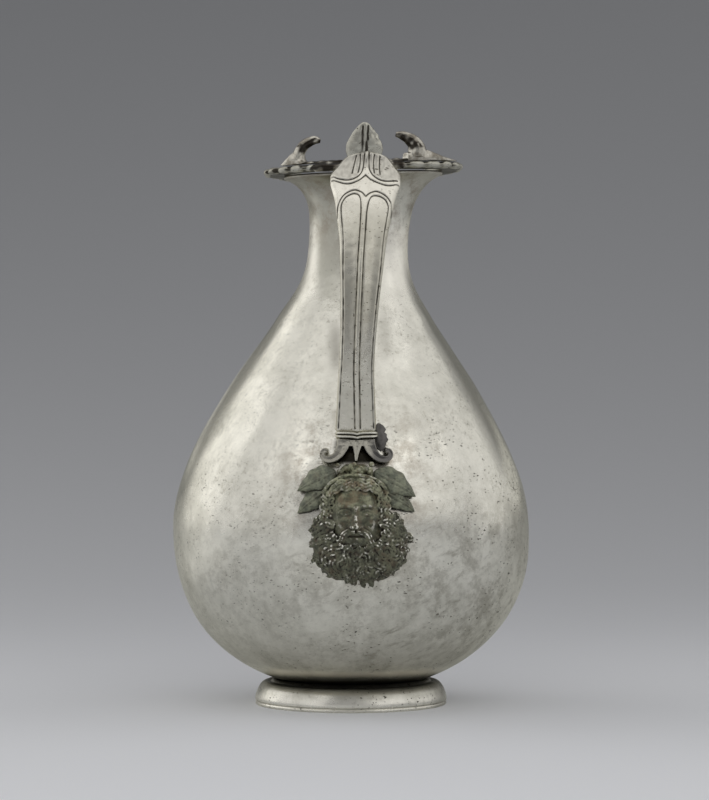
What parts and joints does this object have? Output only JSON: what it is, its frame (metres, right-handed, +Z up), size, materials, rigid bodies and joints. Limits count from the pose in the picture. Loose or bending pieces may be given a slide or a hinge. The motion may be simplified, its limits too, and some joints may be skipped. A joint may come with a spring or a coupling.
{
  "type": "oinochoe jug",
  "caption": "Pear-shaped silver wine jug on a ring foot, with a three-lobed moulded lip and a tall strap handle that ends in a bearded mask.",
  "frame": {"origin": "bottom centre of the bounding box, on the plane that the foot stands on", "axes": "+Z up, -Y towards the handle and the mask, +Y towards the spout"},
  "size_m": [0.1478, 0.1568, 0.2397],
  "materials": {
    "silver": "aged hammered silver, satin, with grey tarnish and small pits",
    "tarnished_silver": "cast silver with dark brown-grey tarnish",
    "bronze": "cast bronze with dark green-brown patina",
    "green_bronze": "bronze with matte grey-green patina",
    "solder": "dark grey soft solder"
  },
  "bodies": {
    "root": {"vessel_body": "silver", "rim_band": "silver", "foot_ring": "silver", "handle_strap": "silver", "thumb_leaf": "silver", "handle_collar": "silver", "handle_volute": "silver", "left_rim_arm": "tarnished_silver", "right_rim_arm": "tarnished_silver", "left_finial": "tarnished_silver", "right_finial": "tarnished_silver", "mask": "bronze", "left_upper_leaf": "green_bronze", "left_lower_leaf": "green_bronze", "right_upper_leaf": "green_bronze", "right_lower_leaf": "green_bronze", "solder_patch": "solder"}
  },
  "joints": []
}
